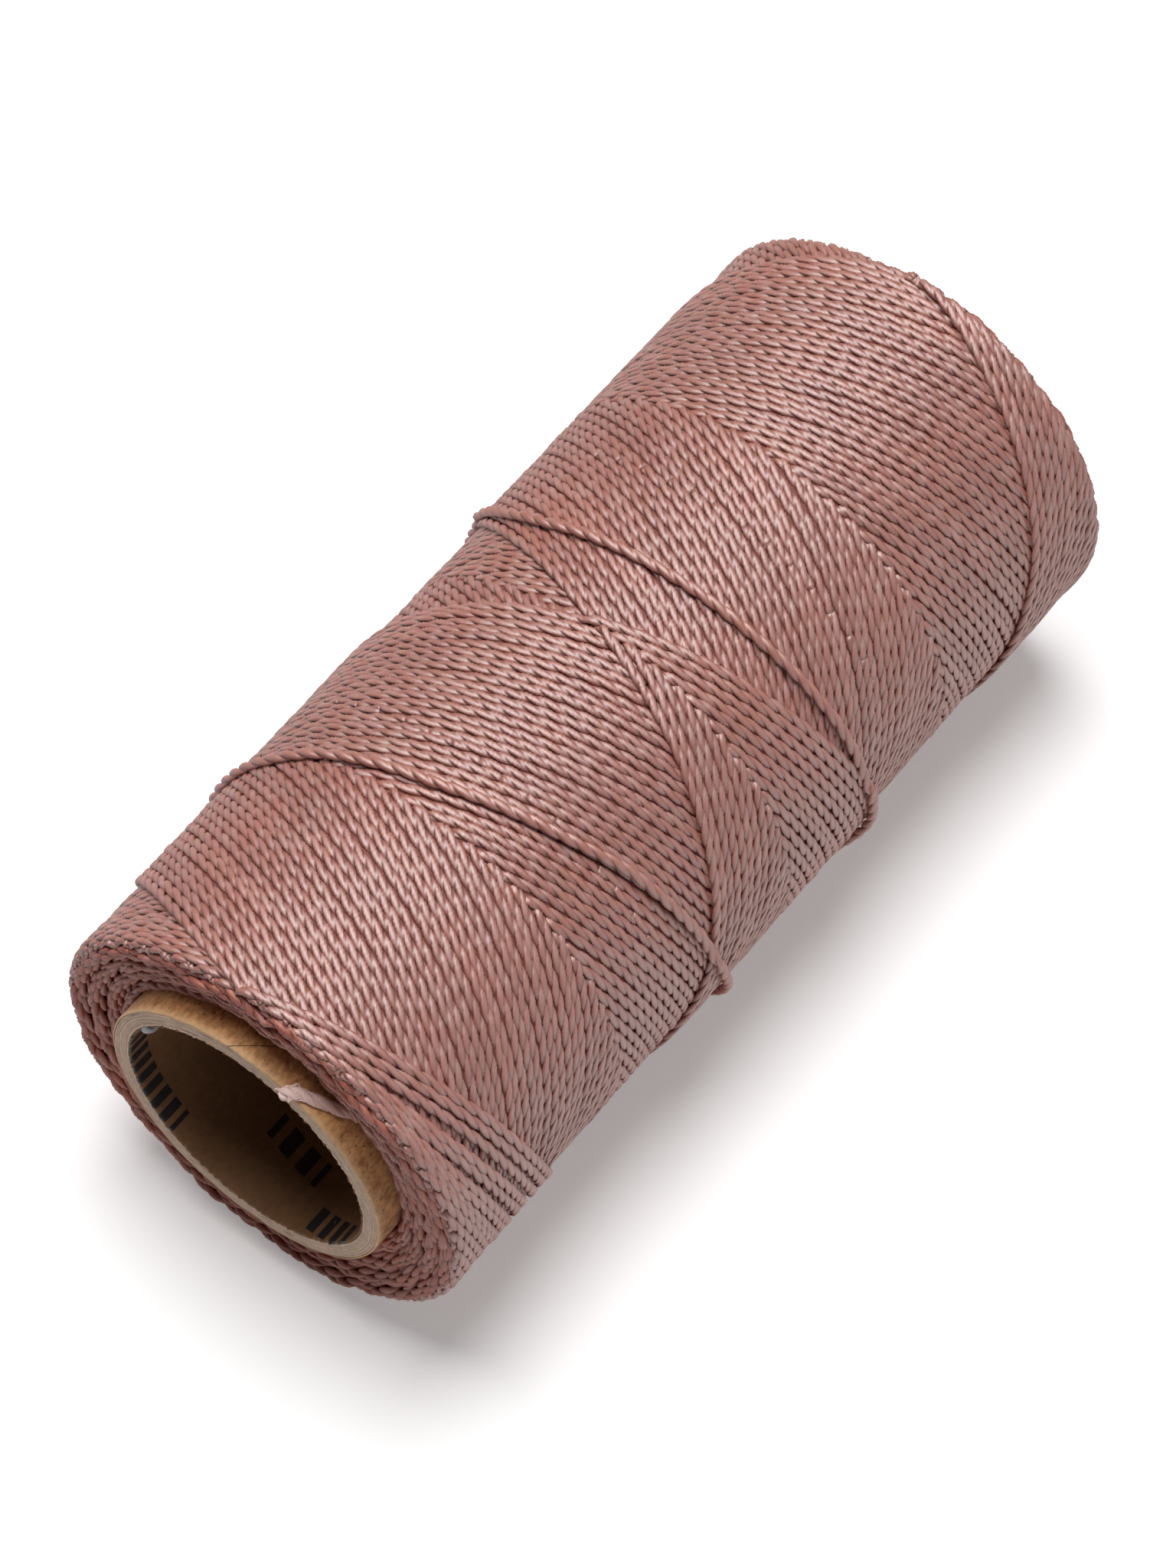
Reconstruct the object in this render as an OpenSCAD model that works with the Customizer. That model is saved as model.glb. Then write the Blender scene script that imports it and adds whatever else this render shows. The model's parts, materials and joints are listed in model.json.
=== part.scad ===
// Spool of waxed two-ply thread, cross wound on a spiral paper tube.
// The spool lies on its side: its axis is parallel to X, and the surface it rests on is z = 0.

/* [Paper tube] */
// Length of the tube, end to end
tube_len = 135; // [110:1:160]
// Diameter of the bore through the tube
bore_d = 35.4; // [33:0.1:36]
// Thickness of the kraft liner inside the tube
liner_t = 0.3; // [0.2:0.05:0.5]
// Thickness of each grey board ply
ply_t = 0.55; // [0.4:0.05:0.7]
// Thickness of the kraft wrap outside the tube
wrap_t = 0.3; // [0.2:0.05:0.5]

/* [Thread package] */
// Diameter over the wound thread, without the loose wraps
package_d = 60; // [56:1:72]
// Bare tube at each end
bare_end = 3.4; // [2.5:0.1:8]
// Radius of the package's shoulders
shoulder_r = 2; // [1:0.1:3]
// How far the end faces swell out from where they meet the tube
face_swell = 1.2; // [0:0.1:1.5]
// Diameter of the thread
thread_d = 1.2; // [0.8:0.1:1.2]

/* [Outer winding] */
// Strokes of the outer winding from one end to the other
strokes = 12; // [4, 6, 8, 12]
// Free height where one thread crosses another, over 0.4
cross_gap = 0.45; // [0.42:0.01:0.6]
// Distance from a turning point of the thread to the package's end face
turn_inset = 1.1; // [0.9:0.1:2]

/* [Hidden] */
$fn = 96;

// ---- Sizes that follow from the ones above ----

ply_count = 4;
ply_r0 = bore_d / 2 + liner_t;          // where the first board ply starts
wrap_r0 = ply_r0 + ply_count * ply_t;   // where the kraft wrap starts
tube_r = wrap_r0 + wrap_t;              // outside of the tube
x_rim = tube_len / 2;                   // the rims are at +x_rim and -x_rim
x_face = x_rim - bare_end;              // end faces of the thread package, where they are fullest

thread_r = thread_d / 2;
sides = 6;                              // of the thread
loop_rings = 24;                        // rings in one turn of the thread
step = 360 / loop_rings;
chord_dip = (package_d / 2) * (1 - cos(step / 2));
level = thread_d + cross_gap;           // from one layer of crossing threads to the next
high_r = package_d / 2 - thread_r;      // path of the strokes towards the near rim
low_r = high_r - level;                 // path of the strokes towards the far rim
mid_r = (high_r + low_r) / 2;
core_r = low_r - thread_r - chord_dip;  // outside of the buried layers
flat_cut = thread_d / 10;               // depth of the flat that the spool rests on
axis_z = package_d / 2 * cos(step / 2) - flat_cut;

// A stroke falls a little short of two turns, so that the strokes end up evenly spaced.
stroke_rings = 2 * loop_rings - loop_rings / strokes;
x_turn = x_face - turn_inset;           // the thread turns back at +x_turn and -x_turn
tip_round = thread_d / 2;               // how far the point of each turn is rounded back
free_end_rings = 3;                     // the last stroke stops this many rings short

// ---- Places round the axis: a is the angle from the top, positive towards +Y ----

function outward(a) = [0, sin(a), cos(a)];
function around(a) = [0, cos(a), -sin(a)];
function place(x, r, a) = [x, 0, 0] + r * outward(a);

// A path is a list of [point, reference]: the reference points away from the axis, except where
// the thread runs in or out of the package, where it turns with the thread.

// Thread leaving the buried layers at right angles and bending over to radius r
rise_deg = 3.6;
function rise(x, r, a, sense) = [
  [place(x, core_r + 0.02, a), -sense * around(a)],
  [place(x, r - 0.75, a), -sense * around(a)],
  [place(x, r - 0.17, a + sense * rise_deg / 4), outward(a) - sense * around(a)],
  [place(x, r, a + sense * rise_deg), outward(a)]
];

function reversed(list) = [for (i = [len(list) - 1 : -1 : 0]) list[i]];

// ---- The outer winding: one unbroken thread that goes from end to end and back ----

// The rings lie half a step to each side of the bottom, so that the straight threads between them
// are what the spool rests on.
first_ring = 2.5;                       // steps from the top to the first ring
function ring_angle(k) = (k + first_ring) * step;
function part_of_stroke(k) = (k % stroke_rings) / stroke_rings;
function heads_near(k) = floor(k / stroke_rings) % 2 == 0;
function at_turn(k) = k % stroke_rings == 0;
function stroke_x(k) = (heads_near(k) ? 1 : -1) * (1 - 2 * part_of_stroke(k)) * x_turn;
function rounded_x(k) = stroke_x(k) - (at_turn(k) && k > 0 ? sign(stroke_x(k)) * tip_round : 0);
function stroke_r(k) = at_turn(k) && k > 0 ? mid_r : heads_near(k) ? high_r : low_r;

last_ring = strokes * stroke_rings - free_end_rings;
winding_path = concat(
  rise(x_turn, high_r, ring_angle(-0.5), 1),
  [for (k = [0 : last_ring])
    [place(rounded_x(k), stroke_r(k), ring_angle(k)), outward(ring_angle(k))]]
);

// ---- The loose wraps: single threads lying over the finished package ----

loose_lift = 0.12;    // free height over the winding
loose_r = package_d / 2 + thread_r + loose_lift;
loose_step = step / 2;
end_lead = 1;         // degrees from the bend of an end to the first ring of the wrap

// sway moves the middle of the wrap along the axis.
function loose_path(x_plus, x_minus, a_plus, a_minus, sway) =
  let (rings = round((a_plus - a_minus) / loose_step))
  concat(
    rise(x_minus, loose_r, a_minus - rise_deg - end_lead, 1),
    [for (k = [0 : rings])
      let (
        f = k / rings,
        a = a_minus + f * (a_plus - a_minus),
        x = x_minus + f * (x_plus - x_minus) + sway * sin(180 * f)
      )
      [place(x, loose_r, a), outward(a)]],
    reversed(rise(x_plus, loose_r, a_plus + rise_deg + end_lead, -1))
  );

// The ends of both wraps go in through free cells of the winding.
loose_reach = 97.5;   // angle to each side of the top
near_loose_path = loose_path(-41, -13.75, loose_reach, -loose_reach, -1.8);
far_loose_path = loose_path(13.7, 19, loose_reach, -loose_reach, -5.6);

// ---- Sweeping a thread along a path ----

function points_of(path) = [for (p = path) p[0]];

// Direction of the thread at ring i: towards the next ring and from the one before
function heading(points, i) =
  let (
    last = len(points) - 1,
    ahead = points[min(i + 1, last)] - points[min(i, last - 1)],
    behind = points[max(i, 1)] - points[max(i - 1, 0)]
  )
  ahead / norm(ahead) + behind / norm(behind);

function unit(v) = v / norm(v);

function ring(path, points, i) =
  let (
    ahead = unit(heading(points, i)),
    across = unit(cross(ahead, path[i][1])),
    away = cross(across, ahead)
  )
  [for (s = [0 : sides - 1])
    points[i] + thread_r * (cos(360 * s / sides) * away + sin(360 * s / sides) * across)];

// Triangles of a closed tube whose rings of n points follow one another
function tube_faces(rings, n) = concat(
  [for (i = [1 : n - 2]) [0, i, i + 1]],
  let (end = (rings - 1) * n) [for (i = [1 : n - 2]) [end, end + i + 1, end + i]],
  [for (k = [0 : rings - 2], s = [0 : n - 1]) each [
    [k * n + s, (k + 1) * n + s, k * n + (s + 1) % n],
    [k * n + (s + 1) % n, (k + 1) * n + s, (k + 1) * n + (s + 1) % n]
  ]]
);

module thread_along(path) {
  points = points_of(path);
  surface_points = [for (i = [0 : len(path) - 1]) each ring(path, points, i)];
  polyhedron(surface_points, tube_faces(len(path), sides));
}

// Least free distance of a thread to itself, past the rings that follow one another
skip_rings = 4;
function least_gap(points) = min([
  for (i = [0 : len(points) - 1], j = [i + skip_rings + 1 : 1 : len(points) - 1])
    norm(points[i] - points[j])
]) - thread_d;

// Least free distance between two threads
function gap_between(p, q) = min([for (a = p, b = q) norm(a - b)]) - thread_d;

// ---- Sub-parts ----

// A tube round the axis, from radius r0 to r1
module shell(r0, r1, length) {
  translate([-length / 2, 0, axis_z]) rotate([0, 90, 0]) difference() {
    cylinder(h = length, r = r1);
    translate([0, 0, -1]) cylinder(h = length + 2, r = r0);
  }
}

module inner_liner() {
  color("#a9763f") shell(bore_d / 2, ply_r0, tube_len);
}

module board_ply(n) {
  color(n % 2 == 1 ? "#a59588" : "#998a7e")
    shell(ply_r0 + (n - 1) * ply_t, ply_r0 + n * ply_t, tube_len);
}

module outer_wrap() {
  color("#b98c5c") shell(wrap_r0, tube_r, tube_len);
}

// Distance of an end face from the middle of the spool, at radius r
fullest_r = core_r - shoulder_r;
function face_x(r) = x_face - face_swell * (1 - sin(90 * (r - tube_r) / (fullest_r - tube_r)));

swell_steps = 5;
shoulder_steps = 5;

// Outline of one end of the package, from the tube to the outside. end is 1 or -1.
function end_outline(end) = concat(
  [for (i = [0 : swell_steps])
    let (r = tube_r + i / swell_steps * (fullest_r - tube_r))
    [r, end * face_x(r)]],
  [for (i = [1 : shoulder_steps])
    let (t = 90 * i / shoulder_steps)
    [fullest_r + shoulder_r * sin(t), end * (x_face - shoulder_r * (1 - cos(t)))]]
);

// The buried layers of thread: end faces that swell away from the tube, rounded shoulders
module thread_core() {
  color("#8d5f57") translate([0, 0, axis_z]) rotate([0, 90, 0]) rotate_extrude()
    polygon(concat(end_outline(-1), reversed(end_outline(1))));
}

// The outer layer of turns, cut flat where the spool rests
module outer_winding() {
  color("#a9786f") difference() {
    translate([0, 0, axis_z]) thread_along(winding_path);
    translate([-x_rim, -package_d / 2, -2]) cube([tube_len, package_d, 2]);
  }
}

module loose_wrap(path) {
  color("#b98a80") translate([0, 0, axis_z]) thread_along(path);
}

// The thread's first end: flattened, it comes out under the package and lies over the rim
tail_w = 1.8;
tail_t = 0.6;
tail_rings = 8;
tail_sides = 8;
tail_from = -36;   // angle where it leaves the package
tail_to = -22;     // angle where it reaches the rim

module start_tail() {
  x_from = -face_x(tube_r + tail_t + 0.04) - 0.03;
  x_to = -x_rim + 0.05;
  r = tube_r + tail_t / 2 + 0.04;
  points = [
    for (i = [0 : tail_rings - 1], s = [0 : tail_sides - 1])
      let (
        f = i / (tail_rings - 1),
        turn = -360 * s / tail_sides,
        a = tail_from + f * (tail_to - tail_from) + (tail_w / 2 * cos(turn)) / r * 180 / PI
      )
      place(x_from + f * (x_to - x_from), r + tail_t / 2 * sin(turn), a)
  ];
  color("#d3b3aa") translate([0, 0, axis_z]) polyhedron(points, tube_faces(tail_rings, tail_sides));
}

winding_points = points_of(winding_path);
echo(loops = last_ring / loop_rings, winding_rings = len(winding_path));
echo(winding_least_gap = least_gap(winding_points));
echo(near_loose_gap = least_gap(points_of(near_loose_path)));
echo(far_loose_gap = least_gap(points_of(far_loose_path)));
echo(near_loose_to_winding = gap_between(points_of(near_loose_path), winding_points));
echo(far_loose_to_winding = gap_between(points_of(far_loose_path), winding_points));

inner_liner();
board_ply(1);  // board_ply_1
board_ply(2);  // board_ply_2
board_ply(3);  // board_ply_3
board_ply(4);  // board_ply_4
outer_wrap();
thread_core();
outer_winding();
loose_wrap(near_loose_path);  // loose_wrap_near
loose_wrap(far_loose_path);  // loose_wrap_far
start_tail();
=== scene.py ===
"""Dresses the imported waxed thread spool: twisted threads, paper tube, loose wrap and studio.

Lengths inside the functions are millimetres and angles degrees. A place on the spool is given by
"along", the distance from the near rim, the radius, and the angle round the axis from the top,
positive towards +Y. put() turns such places into Blender's metres.
"""

import json
import math

import bpy
import numpy as np
from bpy.props import FloatProperty, FloatVectorProperty, IntProperty, PointerProperty
from mathutils import Matrix, Vector


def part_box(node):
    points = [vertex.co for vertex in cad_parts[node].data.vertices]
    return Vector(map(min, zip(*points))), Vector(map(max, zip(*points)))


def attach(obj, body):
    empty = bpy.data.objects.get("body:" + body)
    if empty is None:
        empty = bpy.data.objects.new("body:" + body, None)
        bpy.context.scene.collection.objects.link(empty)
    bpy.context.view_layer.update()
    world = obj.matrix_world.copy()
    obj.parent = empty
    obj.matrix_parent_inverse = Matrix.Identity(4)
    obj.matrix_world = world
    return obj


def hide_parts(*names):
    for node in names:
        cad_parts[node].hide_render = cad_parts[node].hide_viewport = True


bl_info = {
    "name": "Waxed thread spool",
    "version": (1, 0, 0),
    "blender": (4, 5, 0),
    "location": "3D view > Sidebar > Thread spool",
    "description": "Builds the looks of a spool of waxed thread round its packed solids",
    "category": "Object",
}

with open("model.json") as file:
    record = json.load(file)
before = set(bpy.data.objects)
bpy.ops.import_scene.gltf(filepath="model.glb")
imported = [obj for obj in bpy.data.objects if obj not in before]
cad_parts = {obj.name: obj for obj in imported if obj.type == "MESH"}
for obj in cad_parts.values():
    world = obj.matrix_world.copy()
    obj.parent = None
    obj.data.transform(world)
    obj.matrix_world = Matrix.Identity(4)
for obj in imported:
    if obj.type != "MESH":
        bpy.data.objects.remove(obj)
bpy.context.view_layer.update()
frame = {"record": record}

MM = 0.001
BODY = "root"
SEED = 20
WRAP_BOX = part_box("outer_wrap")
TUBE_RADIUS = (WRAP_BOX[1].z - WRAP_BOX[0].z) / 2 / MM
BORE_RADIUS = frame["record"]["mounts"][0]["dims"]["r_mm"]
TUBE_LENGTH = (WRAP_BOX[1].x - WRAP_BOX[0].x) / MM
AXIS_HEIGHT = (WRAP_BOX[1].z + WRAP_BOX[0].z) / 2 / MM


def srgb(red, green, blue):
    """A screen colour of 0 to 255 as Blender's linear colour."""
    parts = np.array([red, green, blue]) / 255
    linear = np.where(parts > 0.04045, ((parts + 0.055) / 1.055) ** 2.4, parts / 12.92)
    return tuple(float(part) for part in linear)


# ---- What a user would change ----


def length_property(name, description, millimetres):
    """A length, given in millimetres."""
    default = millimetres * MM
    return FloatProperty(name=name, description=description, default=default, unit="LENGTH")


def colour_property(name, description, *screen):
    """A colour, given as it is on a screen, 0 to 255."""
    return FloatVectorProperty(
        name=name, description=description, default=srgb(*screen), subtype="COLOR", min=0, max=1
    )


class SpoolSizes(bpy.types.PropertyGroup):
    """Sizes of the thread and of the way it is wound"""

    thread_width: length_property(
        "Thread width", "Width of the twisted thread across its two plies", 1.25
    )
    ply_lay: length_property(
        "Lay", "Length of thread in which the two plies turn once round each other", 5.45
    )
    ring_spacing: length_property(
        "Ring spacing", "Length of thread from one ring of its mesh to the next", 0.54
    )
    double_strokes: IntProperty(
        name="Double strokes",
        description="Trips to the far end and back that make up the outer layer",
        default=49,
    )
    outer_radius: length_property(
        "Outer radius", "Radius of the middle of the newest thread", 30.45
    )
    level_step: length_property(
        "Level step", "Drop from a thread to the one that crosses under it", 0.76
    )
    near_tip: length_property(
        "Near tip", "Distance from the near rim at which straight strokes would turn back", 1.6
    )
    far_tip: length_property(
        "Far tip", "Distance from the near rim at which strokes turn back at the far end", 133.4
    )
    tip_bend: length_property(
        "Tip bend", "How far the bend of a turning stroke stays short of its straight tip", 1.35
    )
    newest_angle: FloatProperty(
        name="Newest angle",
        description="Angle from the top at which the newest stroke ends",
        default=math.radians(3.3),
        subtype="ANGLE",
    )


class SpoolColours(bpy.types.PropertyGroup):
    """Colours of the finishes"""

    thread: colour_property("Thread", "Crests of the waxed thread", 172, 92, 70)
    # Painted shade: the grooves between the plies are coloured darker than the crests.
    thread_groove_shade: colour_property(
        "Thread groove", "Grooves between the plies of the thread", 125, 57, 44
    )
    kraft: colour_property("Kraft wrap", "Outer paper of the tube", 226, 170, 114)
    liner: colour_property("Kraft liner", "Paper that lines the bore", 142, 101, 66)
    board: colour_property("Grey board", "Cut edge of the board plies", 222, 194, 172)
    ink: colour_property("Ink", "Printed bars on the liner", 34, 34, 38)
    frayed: colour_property(
        "Frayed thread", "Loose fibres at the first end of the thread", 242, 212, 202
    )
    floor: colour_property("Floor", "Plain pale floor", 244, 243, 243)


# ---- Shader maths ----


def feed(tree, slot, value):
    """Links a Wire to a socket, or sets the socket's own value."""
    if isinstance(value, Wire):
        tree.links.new(value.socket, slot)
    elif isinstance(value, tuple) and len(value) == 3 and slot.type == "RGBA":
        slot.default_value = (*value, 1)
    else:
        slot.default_value = value


def add_node(tree, kind, settings=None, sockets=None, output=0):
    """A node of this kind, its settings set first, then its sockets. Returns one output."""
    node = tree.nodes.new(kind)
    for name, value in (settings or {}).items():
        setattr(node, name, value)
    for slot, value in (sockets or {}).items():
        feed(tree, node.inputs[slot], value)
    return Wire(tree, node.outputs[output])


def calculate(tree, operation, *values):
    """The result of a Math node on these values."""
    return add_node(tree, "ShaderNodeMath", {"operation": operation}, dict(enumerate(values)))


def both_ways(operation):
    """A Python operator's two methods: with the Wire on its left, and its reflected form."""
    return (
        lambda self, other: calculate(self.tree, operation, self, other),
        lambda self, other: calculate(self.tree, operation, other, self),
    )


class Wire:
    """A node's output socket. Arithmetic on it adds Math nodes."""

    __add__, __radd__ = both_ways("ADD")
    __sub__, __rsub__ = both_ways("SUBTRACT")
    __mul__, __rmul__ = both_ways("MULTIPLY")
    __truediv__, __rtruediv__ = both_ways("DIVIDE")
    __pow__, __rpow__ = both_ways("POWER")

    def __init__(self, tree, socket):
        self.tree = tree
        self.socket = socket

    def math(self, operation, *others):
        """Any other Math node, with this value first."""
        return calculate(self.tree, operation, self, *others)

    def __abs__(self):
        return self.math("ABSOLUTE")

    def over(self, edge, soft):
        """0 well under edge, 1 well over it, with a smooth change of width soft."""
        settings = {"interpolation_type": "SMOOTHSTEP"}
        sockets = {"Value": self, "From Min": edge - soft / 2, "From Max": edge + soft / 2}
        return add_node(self.tree, "ShaderNodeMapRange", settings, sockets)

    def below(self, edge, soft):
        """1 well under edge, 0 well over it, with a smooth change of width soft."""
        return 1 - self.over(edge, soft)

    def parts(self):
        """The three parts of a vector."""
        first = add_node(self.tree, "ShaderNodeSeparateXYZ", sockets={0: self})
        return [Wire(self.tree, part) for part in first.socket.node.outputs]


class Finish:
    """A material round one Principled shader."""

    def __init__(self, name, **constants):
        self.material = bpy.data.materials.new(name)
        self.material.use_nodes = True
        self.tree = self.material.node_tree
        self.shader = self.tree.nodes["Principled BSDF"]
        for socket, value in constants.items():
            feed(self.tree, self.shader.inputs[socket.replace("_", " ")], value)

    def node(self, kind, settings=None, sockets=None, output=0):
        return add_node(self.tree, kind, settings, sockets, output)

    def blend(self, factor, first, second):
        """The first colour where factor is 0, the second where it is 1."""
        settings = {"data_type": "RGBA", "clamp_factor": True}
        return self.node("ShaderNodeMix", settings, {0: factor, 6: first, 7: second}, output=2)

    def noise(self, vector, scale, detail=2, roughness=0.5):
        sockets = {"Vector": vector, "Scale": scale, "Detail": detail, "Roughness": roughness}
        return self.node("ShaderNodeTexNoise", sockets=sockets)

    def stretch(self, vector, factors):
        """A vector with each part multiplied by its own number."""
        sockets = {0: vector, 1: factors}
        return self.node("ShaderNodeVectorMath", {"operation": "MULTIPLY"}, sockets)

    def attribute(self, name, output="Fac"):
        return self.node("ShaderNodeAttribute", {"attribute_name": name}, output=output)

    def place(self):
        """The point's place in the row frame."""
        return self.node("ShaderNodeTexCoord", output="Object")

    def round_axis(self):
        """Along, radius and angle round the spool's axis: millimetres and degrees."""
        x, y, z = self.place().parts()
        along = x / MM + TUBE_LENGTH / 2
        side, height = y / MM, z / MM - AXIS_HEIGHT
        radius = (side * side + height * height) ** 0.5
        angle = side.math("ARCTAN2", height) * math.degrees(1)
        return along, radius, angle

    def finish(self, colour, roughness=None, bump=None, bump_depth=0.1):
        """Feeds the shader. bump_depth is in millimetres."""
        sockets = {"Base Color": colour}
        if roughness is not None:
            sockets["Roughness"] = roughness
        if bump is not None:
            values = {"Strength": 1.0, "Distance": bump_depth * MM, "Height": bump}
            sockets["Normal"] = self.node("ShaderNodeBump", sockets=values)
        for name, value in sockets.items():
            feed(self.tree, self.shader.inputs[name], value)
        return self.material


# ---- Meshes ----

DRAWN_WIDTH = 1.25  # the thread's width for which the sizes of its section are given
# Shape of a pressed thread, as shares of its free height and breadth
UNDER_HEIGHT = 0.91
PRESSED_BREADTH = 1.08
LEAST_HEIGHT = 0.01  # of any point of a thread over the floor


def put(along, radius, angle):
    """Places round the axis as metres in the row frame."""
    turn = np.radians(angle)
    x = along - TUBE_LENGTH / 2 + 0 * turn
    y = radius * np.sin(turn)
    z = AXIS_HEIGHT + radius * np.cos(turn)
    return np.stack(np.broadcast_arrays(x, y, z), -1) * MM


def outward(angle):
    """Unit vectors that point away from the axis."""
    turn = np.radians(angle)
    return np.stack([0 * turn, np.sin(turn), np.cos(turn)], -1)


def unit(vectors):
    return vectors / np.linalg.norm(vectors, axis=-1, keepdims=True)


def whole_turn(steps):
    """Evenly spaced angles once round the axis, as a row."""
    return np.arange(steps)[None, :] * 360 / steps


def add_object(name, data):
    thing = bpy.data.objects.new(name, data)
    bpy.context.scene.collection.objects.link(thing)
    return thing


def add_piece(name, points, faces_by_size, material, uv=None, attributes=None):
    """A smooth mesh object that rides on the spool. faces_by_size is a list of (n, k) arrays."""
    points = np.asarray(points, np.float32).reshape(-1, 3)
    corners = np.concatenate([faces.ravel() for faces in faces_by_size])
    lengths = np.concatenate([np.full(len(f), f.shape[1]) for f in faces_by_size])
    starts = np.concatenate([[0], np.cumsum(lengths)[:-1]])
    mesh = bpy.data.meshes.new(name)
    mesh.vertices.add(len(points))
    mesh.vertices.foreach_set("co", points.ravel())
    mesh.loops.add(len(corners))
    mesh.loops.foreach_set("vertex_index", corners.astype(np.int32))
    mesh.polygons.add(len(lengths))
    mesh.polygons.foreach_set("loop_start", starts.astype(np.int32))
    mesh.polygons.foreach_set("use_smooth", np.ones(len(lengths), bool))
    mesh.update(calc_edges=True)
    if uv is not None:
        layer = mesh.uv_layers.new(name="OFBake")
        layer.uv.foreach_set("vector", np.asarray(uv, np.float32).ravel())
    for key, values in (attributes or {}).items():
        kind, part = ("FLOAT_VECTOR", "vector") if values.ndim == 2 else ("FLOAT", "value")
        field = mesh.attributes.new(key, kind, "POINT")
        field.data.foreach_set(part, values.astype(np.float32).ravel())
    mesh.materials.append(material)
    piece = add_object(name, mesh)
    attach(piece, BODY)
    return piece


def grid_faces(rows, columns, close_rows, close_columns):
    """Quads of a grid of points, row by row, that may close on itself either way."""
    row = np.arange(rows if close_rows else rows - 1)[:, None]
    column = np.arange(columns if close_columns else columns - 1)[None, :]
    below, right = (row + 1) % rows, (column + 1) % columns
    corners = ((row, column), (row, right), (below, right), (below, column))
    quads = np.broadcast_arrays(*(line * columns + place for line, place in corners))
    return np.stack(quads, -1).reshape(-1, 4)


class Section:
    """Outline of a thread across its length: two full plies side by side, as polar offsets.

    The distance from the middle at angle b from the nearer ply's centre line is
    c cos b + sqrt(a^2 - (c sin b)^2), the outline of a circle of radius a whose centre is c away,
    and the crease between the plies is cut a little deeper than where the circles meet.
    """

    def __init__(self, width):
        scale = width / DRAWN_WIDTH
        ply_radius, ply_offset, crease = 0.47 * scale, 0.2 * scale, 0.16 * scale
        lobe = np.array([-70, -36, 0, 36, 70])
        self.angle = np.concatenate([[-90], lobe, [90], lobe + 180])
        nearest = (self.angle + 90) % 180 - 90
        off, aside = ply_offset * np.cos(np.radians(nearest)), np.sin(np.radians(nearest))
        self.reach = off + np.sqrt(ply_radius**2 - (ply_offset * aside) ** 2)
        self.reach = self.reach - crease * (nearest == -90)
        # crest runs from 0 in the crease to 1 on top of a ply; the thread finish darkens the
        # creases by it, as painted shade.
        self.crest = (self.reach - self.reach.min()) / np.ptp(self.reach)
        turn = np.radians(self.angle)
        self.ply = np.stack([np.cos(turn), np.sin(turn)])


def strip_map(links, caps, sides):
    """A bake map that lays the threads out in strips: one cell to a quad, a block to each cap."""
    wide = math.ceil(math.sqrt(sides * (links + caps)))
    blocks = math.ceil((links + caps) / wide)
    link = np.arange(links)[:, None]
    side = np.arange(sides)[None, :]
    left, low = link % wide + 0 * side, (link // wide) * sides + side
    corners = ((0, 0), (0, 1), (1, 1), (1, 0))
    quads = np.stack([np.stack([left + u, low + v], -1) for u, v in corners], -2)
    cap = np.arange(links, links + caps)[:, None]
    turn = 2 * np.pi * side / sides
    across = cap % wide + 0.5 + 0.4 * np.cos(turn)
    over = (cap // wide) * sides + sides / 2 * (1 + 0.8 * np.sin(turn))
    ends = np.stack([across, over], -1)
    return np.concatenate([quads.reshape(-1, 2), ends.reshape(-1, 2)]) / [wide, blocks * sides]


def add_threads(name, centre, up, twist, keep, section, tone, material, press=0.41):
    """Twisted threads along rows of places, wherever keep says, each stretch a closed tube.

    A point of a ring is the place plus reach times (cos v along up + sin v along side), where v
    is the section's angle plus the twist at that place, and side is at right angles to both the
    thread and up. The outer side is pressed: a height h becomes press * tanh(h / press), so a
    small press, in millimetres, makes it flat.
    """
    along = unit(np.gradient(centre, axis=1))
    side = unit(np.cross(along, up))
    lift = np.cross(side, along)
    link = keep[:, :-1] & keep[:, 1:]
    used = np.zeros_like(keep)
    used[:, :-1] |= link
    used[:, 1:] |= link
    number = (np.cumsum(used.ravel()) - 1).reshape(used.shape)
    sides = len(section.angle)
    view = np.radians(twist[used][:, None] + section.angle[None, :])
    height = section.reach * np.cos(view)
    pressed = press * np.tanh(height / press)
    height = np.where(height > 0, pressed, UNDER_HEIGHT * height)[..., None]
    across = (PRESSED_BREADTH * section.reach * np.sin(view))[..., None]
    points = centre[used][:, None, :] + MM * (
        height * lift[used][:, None, :] + across * side[used][:, None, :]
    )
    points[..., 2] = np.maximum(points[..., 2], LEAST_HEIGHT * MM)
    ring = np.arange(sides)
    after = (ring + 1) % sides
    first = number[:, :-1][link][:, None] * sides
    second = number[:, 1:][link][:, None] * sides
    quads = np.stack([first + ring, first + after, second + after, second + ring], -1)
    starts = used.copy()
    starts[:, 1:] &= ~link
    ends = used.copy()
    ends[:, :-1] &= ~link
    start_caps = number[starts][:, None] * sides + ring[::-1]
    end_caps = number[ends][:, None] * sides + ring
    caps = np.concatenate([start_caps, end_caps])
    length = np.cumsum(np.linalg.norm(np.diff(centre, axis=1, prepend=centre[:, :1]), axis=-1), 1)
    ply = np.stack(np.broadcast_arrays(*section.ply, (length / MM)[used][:, None]), -1)
    return add_piece(
        name,
        points,
        [quads.reshape(-1, 4), caps],
        material,
        strip_map(int(link.sum()), len(caps), sides),
        {
            "ply": ply.reshape(-1, 3),
            "crest": np.tile(section.crest, int(used.sum())),
            "tone": np.repeat(np.broadcast_to(tone, used.shape)[used], sides),
        },
    )


def waves(random, rows, length, sizes):
    """Smooth random offsets along each row: sums of sines of these (height, wavelength) pairs."""
    total = np.zeros((rows, len(length)))
    for height, wavelength in sizes:
        start = random.uniform(0, 2 * np.pi, (rows, 1))
        stretch = random.uniform(0.75, 1.3, (rows, 1))
        total += height * np.sin(2 * np.pi * length / (wavelength * stretch) + start)
    return total


def widen(mask, samples):
    """A mask of rows, grown by this many samples to each side."""
    grown = mask.copy()
    for shift in range(1, samples + 1):
        grown[:, shift:] |= mask[:, :-shift]
        grown[:, :-shift] |= mask[:, shift:]
    return grown


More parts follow.
